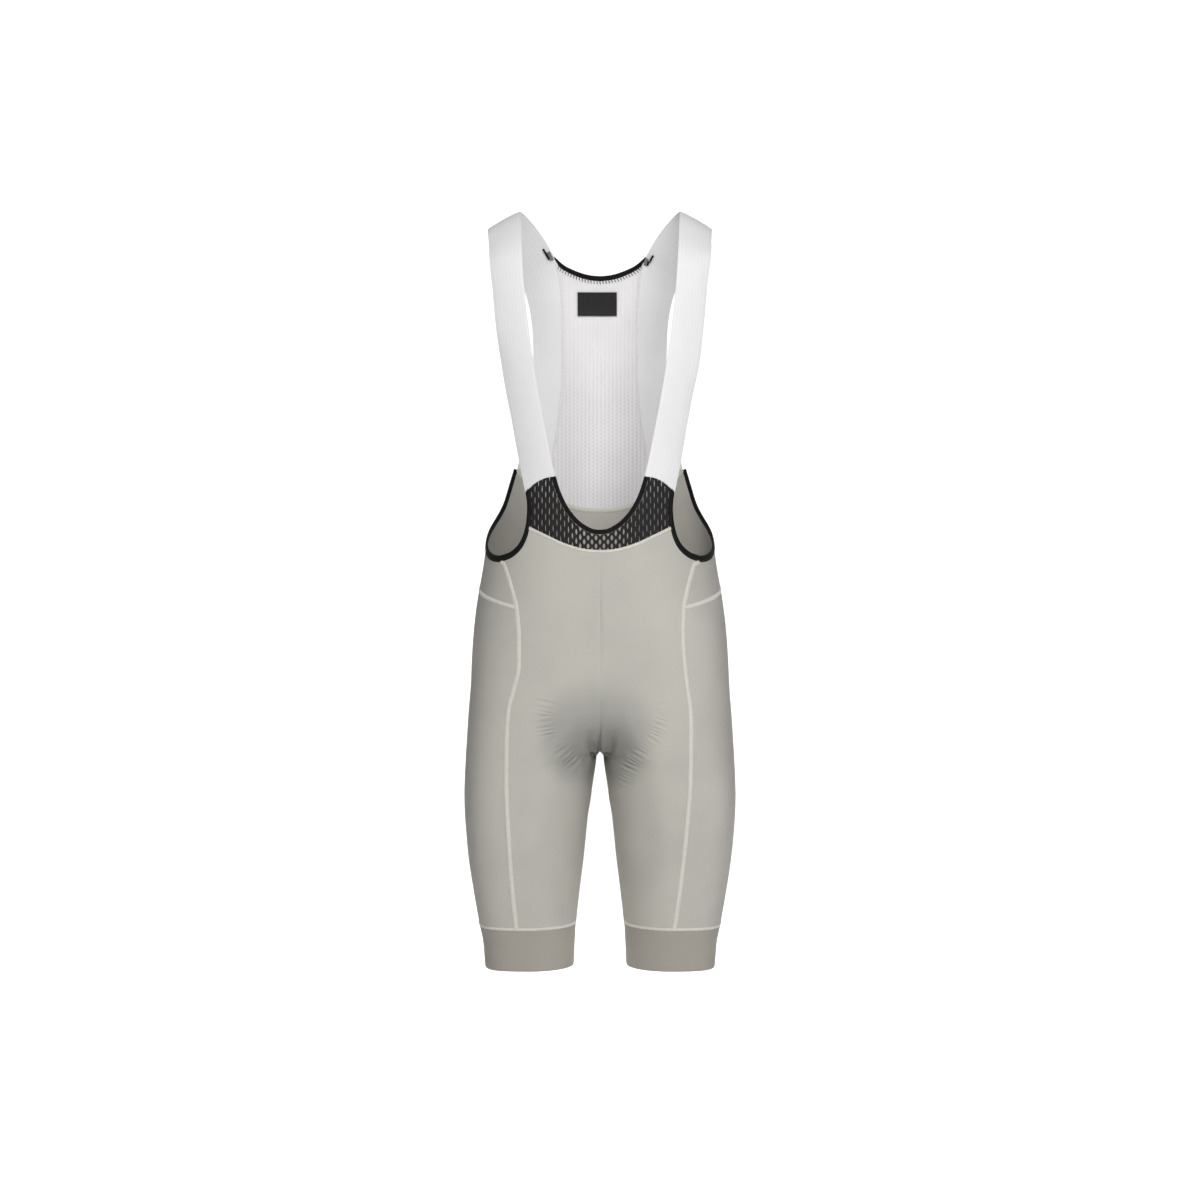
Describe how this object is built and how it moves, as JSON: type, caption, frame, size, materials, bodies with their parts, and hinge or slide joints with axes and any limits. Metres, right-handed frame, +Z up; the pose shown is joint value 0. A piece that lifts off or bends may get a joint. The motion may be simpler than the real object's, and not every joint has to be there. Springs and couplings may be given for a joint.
{
  "type": "cycling bib shorts",
  "caption": "Close-fitting cycling bib shorts with wide white straps, mesh back, black belly net and elastic leg bands.",
  "frame": {"origin": "midway between the two shoulder crests of the straps, where the wearer holds the garment up", "axes": "+Z up, -Y out of the garment's front, +X to the wearer's left (the right as seen from the front)"},
  "size_m": [0.3235, 0.241, 0.9017],
  "materials": {
    "shorts_fabric": "matt stone-grey stretch knit with fine upright ribs",
    "side_fabric": "matt stone-grey stretch knit, a shade darker",
    "gripper_band": "matt warm-grey elastic band",
    "belly_net": "matt black openwork net",
    "black_binding": "matt black folded stretch tape",
    "white_strap": "matt white elastic knit",
    "white_mesh": "matt white ribbed mesh",
    "neck_label": "bare black woven label"
  },
  "bodies": {
    "root": {"front_left": "shorts_fabric", "front_right": "shorts_fabric", "side_yoke_left": "side_fabric", "side_yoke_right": "side_fabric", "side_left": "side_fabric", "side_right": "side_fabric", "back_left": "shorts_fabric", "back_right": "shorts_fabric", "gripper_left": "gripper_band", "gripper_right": "gripper_band", "belly_net": "belly_net", "neckline_binding": "black_binding", "arm_binding_left": "black_binding", "arm_binding_right": "black_binding", "back_neck_binding": "black_binding", "strap_left": "white_strap", "strap_right": "white_strap", "back_mesh": "white_mesh", "neck_label": "neck_label"}
  },
  "joints": []
}
